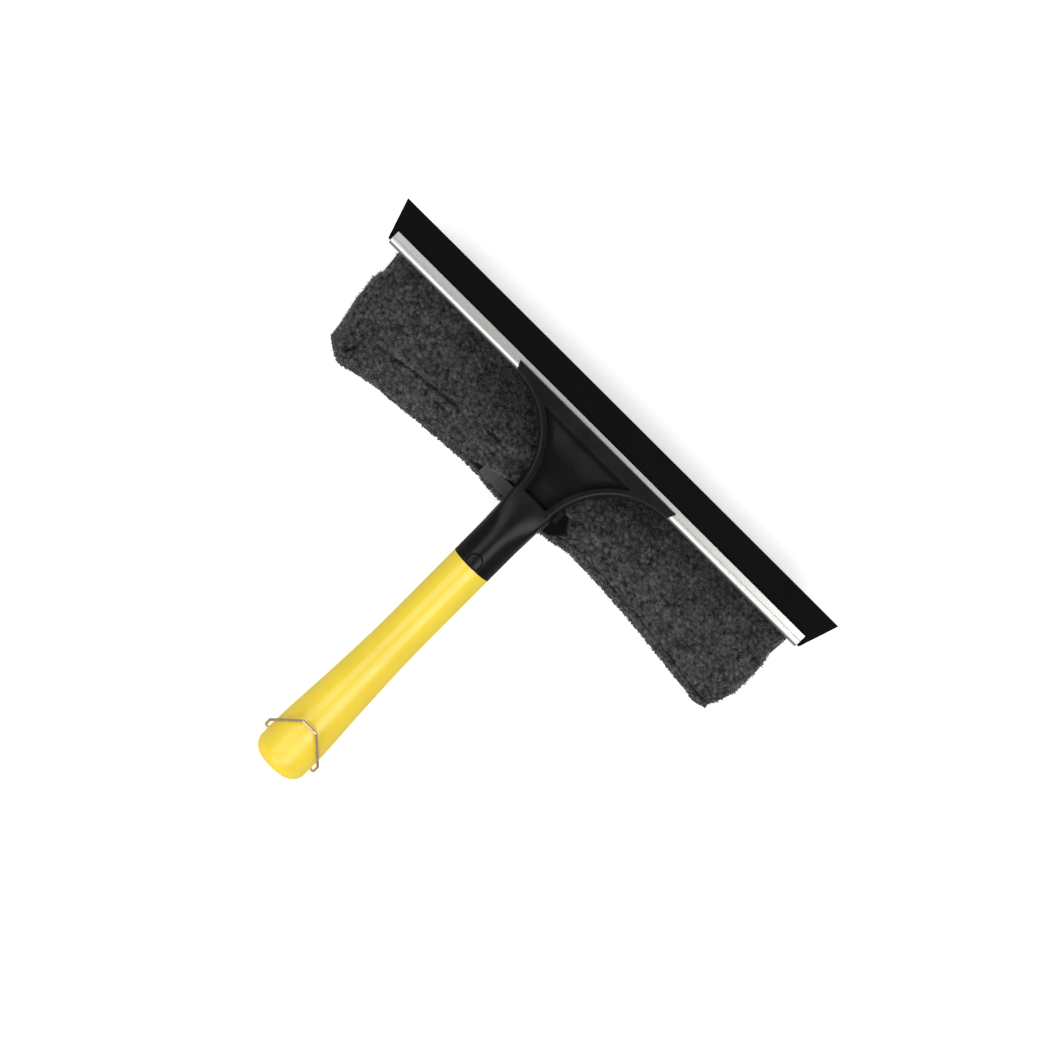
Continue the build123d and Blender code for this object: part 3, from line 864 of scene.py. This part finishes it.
# Painted shade: the mouth, the slit and the strap's seat are coloured near black, as the shade inside
# the openings.
opening_shade = np.concatenate([(1 - on_pile).ravel(), [0.0, 0.0]])
set_attribute(sleeve, "pile_painted_light", pile_painted_light)
set_attribute(sleeve, "tone", tone)
set_attribute(sleeve, "opening_shade", opening_shade)

# %% [markdown]
# ## Loose fibres
# A real pile is never a clean surface. Some tens of thousands of tiny curved spikes stand
# on it, each with only seven faces, leaning every way, so that the outline is fuzzy.

# %% Fibres
FIBRES_PER_PIECE = 20000
FIBRE_LENGTH = (0.8, 1.9)  # mm
FIBRE_WIDTH = (0.16, 0.3)  # mm
FIBRE_NUDGE = 0.00022  # metres
FIBRE_RINGS = ((-0.15, 1.0), (0.5, 0.75))  # share of the length, share of the width
# Painted shade and light along each fibre: darker at the root, lighter at the tip.
FIBRE_LIGHT = (0.45, 0.45, 0.45, 0.85, 0.85, 0.85, 1.15)  # from root to tip, for its seven points
fibre_random = np.random.default_rng(41)


def fibre_sites(count, usable):
    """Random grid places where fibres stand, picked from the usable ones."""
    rows, columns = np.nonzero(usable)
    picked = fibre_random.integers(0, len(rows), count)
    return rows[picked], columns[picked]


def build_fibres(name, usable):
    """Spikes of three sides: a ring at the root, a ring halfway, and a tip that is bent aside.
    Each root is nudged a little, so that the spikes don't stand in the rows of the grid."""
    rows, columns = fibre_sites(FIBRES_PER_PIECE, usable)
    root = pile_points[rows, columns] + fibre_random.normal(0, FIBRE_NUDGE, (len(rows), 3))
    normal = base_normals[rows, columns]
    lean = fibre_random.normal(0, 0.75, (len(rows), 3))
    rise = normal + lean * 0.8
    rise /= np.linalg.norm(rise, axis=1, keepdims=True)
    bend = normal + fibre_random.normal(0, 0.9, (len(rows), 3))
    bend /= np.linalg.norm(bend, axis=1, keepdims=True)
    length = fibre_random.uniform(*FIBRE_LENGTH, (len(rows), 1)) * MM
    width = fibre_random.uniform(*FIBRE_WIDTH, (len(rows), 1)) * MM
    side = np.cross(rise, fibre_random.normal(0, 1, (len(rows), 3)))
    side /= np.maximum(np.linalg.norm(side, axis=1, keepdims=True), 1e-9)
    other = np.cross(rise, side)
    rings = []
    for height, thick in FIBRE_RINGS:
        centre = root + rise * length * height
        for turn in np.arange(3) * 2 * np.pi / 3:
            rings.append(centre + (side * np.cos(turn) + other * np.sin(turn)) * width * thick)
    rings.append(root + rise * length * 0.5 + bend * length * 0.5)
    points = np.stack(rings, axis=1)
    points[..., 2] = np.maximum(points[..., 2], LOWEST)
    first = (np.arange(len(rows)) * len(FIBRE_LIGHT))[:, None, None]
    quads = first + np.array([[0, 1, 4, 3], [1, 2, 5, 4], [2, 0, 3, 5]])[None]
    triangles = first + np.array([[3, 4, 6], [4, 5, 6], [5, 3, 6], [2, 1, 0]])[None]
    made = build_mesh(name, points.reshape(-1, 3), quads.reshape(-1, 4), triangles.reshape(-1, 3))
    shade = np.repeat(fibre_random.uniform(0, 1, len(rows)), len(FIBRE_LIGHT))
    # Painted shade: a fibre is darker where the pile under it lies in a hollow or a sheltered place.
    light_here = (1 - painted_shade[rows, columns]) * (0.3 + 0.7 * np.clip(bump[rows, columns], 0, 1))
    set_attribute(made, "pile_painted_light", (np.array(FIBRE_LIGHT) * light_here[:, None]).ravel())
    set_attribute(made, "tone", shade)
    set_attribute(made, "opening_shade", np.zeros(len(shade)))
    return made


clear_of_openings = (opening_gap > 0.4) & (in_mm[..., 2] > 1.2)
left_fibres = build_fibres("sleeve_fibres_left", clear_of_openings & (in_mm[..., 0] < 0))
right_fibres = build_fibres("sleeve_fibres_right", clear_of_openings & (in_mm[..., 0] >= 0))

# %% [markdown]
# ## Microfibre
# The colour carries painted light and shade: the hollows are painted nearly black and the tips a soft
# grey, the sheltered places and the openings darker still, and each tuft has its own tone. A weak sheen
# gives the halo that fine fibres have at grazing angles.

# %% Microfibre material


def microfibre():
    """Grey pile: its colour from the painted light and shade of the pile and its openings, and from the
    tone attribute, with slow patches over it.
    """
    material, tree, shader, coordinates = start_material(
        "microfibre", Roughness=0.95, Specular_IOR_Level=0.1, Sheen_Weight=0.25, Sheen_Roughness=0.5
    )
    pile_painted_light_value = add_node(tree, "ShaderNodeAttribute", {"attribute_name": "pile_painted_light"}).outputs["Fac"]
    tone_value = add_node(tree, "ShaderNodeAttribute", {"attribute_name": "tone"}).outputs["Fac"]
    opening_shade_value = add_node(tree, "ShaderNodeAttribute", {"attribute_name": "opening_shade"}).outputs["Fac"]
    # Painted light and shade: the colour runs from near black in the pile's hollows to grey on its
    # tips.
    deep = ramp(tree, pile_painted_light_value, 0.1, 1.15)
    dark = mix_colour(tree, deep, (0.0045, 0.005, 0.0055, 1), (0.102, 0.104, 0.103, 1))
    dimmed = mix_colour(tree, 0.45, dark, (0.006, 0.0065, 0.007, 1))
    toned = mix_colour(tree, ramp(tree, tone_value, 0.1, 0.9), dark, dimmed)
    patches = add_node(tree, "ShaderNodeTexNoise", Vector=coordinates, Scale=60.0, Detail=3.0)
    patchy = mix_colour(tree, ramp(tree, patches.outputs[0], 0.35, 0.75, 0.0, 0.35), toned, dark)
    # Painted shade in the openings: near black.
    opening_shaded = mix_colour(tree, opening_shade_value, patchy, (0.002, 0.002, 0.0025, 1))
    tree.links.new(opening_shaded, shader.inputs["Base Color"])
    fine = add_node(tree, "ShaderNodeTexNoise", Vector=coordinates, Scale=2600.0, Detail=2.0)
    link_bump(tree, shader, fine.outputs[0], 0.5, 0.0002)
    return material


pile_material = microfibre()
for piece in (sleeve, left_fibres, right_fibres):
    piece.data.materials.append(pile_material)
    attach(piece, "scrubber")
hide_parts("scrubber_sleeve")

# %% [markdown]
# ## The closure strap
# A flat woven strap closes the sleeve's mouth and passes behind the neck. It is a slab with
# rounded edges, and its free end lifts a little from the pile.

# %% Strap
STRAP_X = (-31.0, 13.0)
STRAP_W = (35.0, 42.0)
STRAP_N = -11.75  # the strap's upper face
STRAP_THICK = 1.15
STRAP_LIFT = 0.4  # how far the free end stands up
LIFTED_SHARE = 0.25  # the share of the strap's length that bends up
STRAP_ROWS = 90
STRAP_COLUMNS = 48


def strap_lift(length_share):
    """How far the strap stands up at a share of its length: nothing, then a square towards its end."""
    return STRAP_LIFT * (1 - soft_step(length_share, 0.0, LIFTED_SHARE)) ** 2


def strap_surface(length_share, round_share):
    """A long slab: its section is a very flat superellipse, and its left end curls up."""
    x = STRAP_X[0] + (STRAP_X[1] - STRAP_X[0]) * length_share
    angle = round_share * 2 * np.pi
    cosine, sine = np.cos(angle), np.sin(angle)
    half = (STRAP_W[1] - STRAP_W[0]) / 2
    w = (STRAP_W[0] + STRAP_W[1]) / 2 + half * signed_power(cosine, 0.25)
    middle_n = STRAP_N - STRAP_THICK / 2 + strap_lift(length_share)
    n = middle_n + STRAP_THICK / 2 * signed_power(sine, 0.4)
    return place(x, w, n)


strap_length, strap_round = np.broadcast_arrays(
    np.linspace(0, 1, STRAP_ROWS)[:, None], (np.arange(STRAP_COLUMNS) / STRAP_COLUMNS)[None, :]
)
strap_points = strap_surface(strap_length, strap_round)
strap_quads, strap_fans = tube_faces(STRAP_ROWS, STRAP_COLUMNS)
strap_ends = np.stack([strap_points[0].mean(axis=0), strap_points[-1].mean(axis=0)])
strap = build_mesh(
    "closure_strap", np.concatenate([strap_points.reshape(-1, 3), strap_ends]), strap_quads, strap_fans
)


def woven_strap():
    """A tight plain weave: two crossed waves along x and w, with a little colour between threads."""
    material, tree, shader, coordinates = start_material(
        "woven_strap", Roughness=0.85, Specular_IOR_Level=0.2, Sheen_Weight=0.15
    )
    turned = tool_coordinates(tree, coordinates)
    waves = []
    for direction in ("X", "Y"):
        waves.append(add_node(
            tree, "ShaderNodeTexWave", {"bands_direction": direction}, Vector=turned, Scale=420.0
        ).outputs[1])
    crossed = arithmetic(tree, "MULTIPLY", waves[0], waves[1])
    colour = mix_colour(tree, crossed, (0.055, 0.057, 0.058, 1), (0.11, 0.112, 0.112, 1))
    tree.links.new(colour, shader.inputs["Base Color"])
    link_bump(tree, shader, crossed, 0.6, 0.0002)
    return material


strap.data.materials.append(woven_strap())
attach(strap, "scrubber")
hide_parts("closure_flap")

# %% [markdown]
# ## Stitches and hook tape
# The strap is sewn with a row of stitches along each long edge and a box at its free end.
# One stitch is a short thick thread whose ends dip into the strap: a tube along half a sine
# wave. The same tube is placed at every stitch. The hidden patch under the strap's end is
# hook tape, a black field of tiny hooks, which bumps can show at this size.

# %% Stitches
STITCH_LENGTH = 1.7  # mm, as the rest
STITCH_PITCH = 2.3
THREAD_RADIUS = 0.2
STITCH_RISE = 0.16  # how far a stitch's middle stands above its ends
STITCH_SUNK = 0.1  # how far its ends dip into the strap
EDGE_INSET = 0.8
BOX_X = (1.1, 8.0)  # the two short rows, from the free end
STITCH_RINGS = 5
STITCH_SIDES = 6


def stitch_seats():
    """The (x, w) middles of the stitches and their directions: two long rows, then two short ones."""
    low, high = STRAP_W[0] + EDGE_INSET, STRAP_W[1] - EDGE_INSET
    row = np.arange(STRAP_X[0] + 2.0, STRAP_X[1] - 1.0, STITCH_PITCH)
    cross = np.arange(low + STITCH_PITCH / 2, high, STITCH_PITCH * 0.85)
    seats = [(x, w, 0.0) for w in (low, high) for x in row]
    seats += [(STRAP_X[0] + x, w, 1.0) for x in BOX_X for w in cross]
    return np.array(seats)


def strap_top(x):
    """The n of the strap's upper face at x."""
    share = (x - STRAP_X[0]) / (STRAP_X[1] - STRAP_X[0])
    return STRAP_N + strap_lift(share)


def build_stitches():
    """A tube of six sides and five rings for each seat, along half a sine wave."""
    seats = stitch_seats()[:, None, None, :]
    step = np.linspace(-0.5, 0.5, STITCH_RINGS)[None, :, None]
    turn = (np.arange(STITCH_SIDES) / STITCH_SIDES * 2 * np.pi)[None, None, :]
    radius = THREAD_RADIUS * np.cos(step * 2.6)
    run = step * STITCH_LENGTH
    side = radius * np.cos(turn)
    crosswise = seats[..., 2]
    x = seats[..., 0] + run * (1 - crosswise) - side * crosswise
    w = seats[..., 1] + run * crosswise + side * (1 - crosswise)
    middle_n = strap_top(seats[..., 0]) + STITCH_RISE * np.cos(step * np.pi) - STITCH_SUNK
    n = middle_n + radius * np.sin(turn)
    points = place(x, w, n)
    corners = STITCH_RINGS * STITCH_SIDES
    number = np.arange(corners).reshape(STITCH_RINGS, STITCH_SIDES)
    right = np.roll(number, -1, axis=1)
    quads = np.stack([number[:-1], right[:-1], right[1:], number[1:]], axis=-1).reshape(-1, 4)
    caps = np.array([[0, 2, 1], [0, 3, 2], [0, 4, 3], [0, 5, 4]])
    caps = np.concatenate([caps, caps[:, ::-1] + corners - STITCH_SIDES])
    first = (np.arange(len(points)) * corners)[:, None, None]
    return build_mesh(
        "strap_stitches",
        points.reshape(-1, 3),
        (first + quads).reshape(-1, 4),
        (first + caps).reshape(-1, 3),
    )


def sewing_thread():
    """Grey thread with the twist of its strands as a fine diagonal wave."""
    material, tree, shader, coordinates = start_material(
        "sewing_thread", Roughness=0.7, Specular_IOR_Level=0.3, Sheen_Weight=0.2
    )
    twist = add_node(
        tree, "ShaderNodeTexWave", {"bands_direction": "DIAGONAL"}, Vector=coordinates, Scale=900.0
    ).outputs[1]
    colour = mix_colour(tree, twist, (0.06, 0.062, 0.063, 1), (0.14, 0.142, 0.142, 1))
    tree.links.new(colour, shader.inputs["Base Color"])
    link_bump(tree, shader, twist, 0.6, 0.0001)
    return material


stitches = build_stitches()
stitches.data.materials.append(sewing_thread())
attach(stitches, "scrubber")


def hook_tape():
    """Black nylon hooks: a fine cell pattern for both the bump and the colour."""
    material, tree, shader, coordinates = start_material(
        "hook_tape", Roughness=0.6, Specular_IOR_Level=0.3
    )
    hooks = add_node(tree, "ShaderNodeTexVoronoi", Vector=coordinates, Scale=1100.0).outputs["Distance"]
    tips = ramp(tree, hooks, 0.1, 0.6)
    colour = mix_colour(tree, tips, (0.03, 0.03, 0.032, 1), (0.008, 0.008, 0.009, 1))
    tree.links.new(colour, shader.inputs["Base Color"])
    link_bump(tree, shader, hooks, 0.8, 0.0003)
    return material


dress("hook_patch", hook_tape())
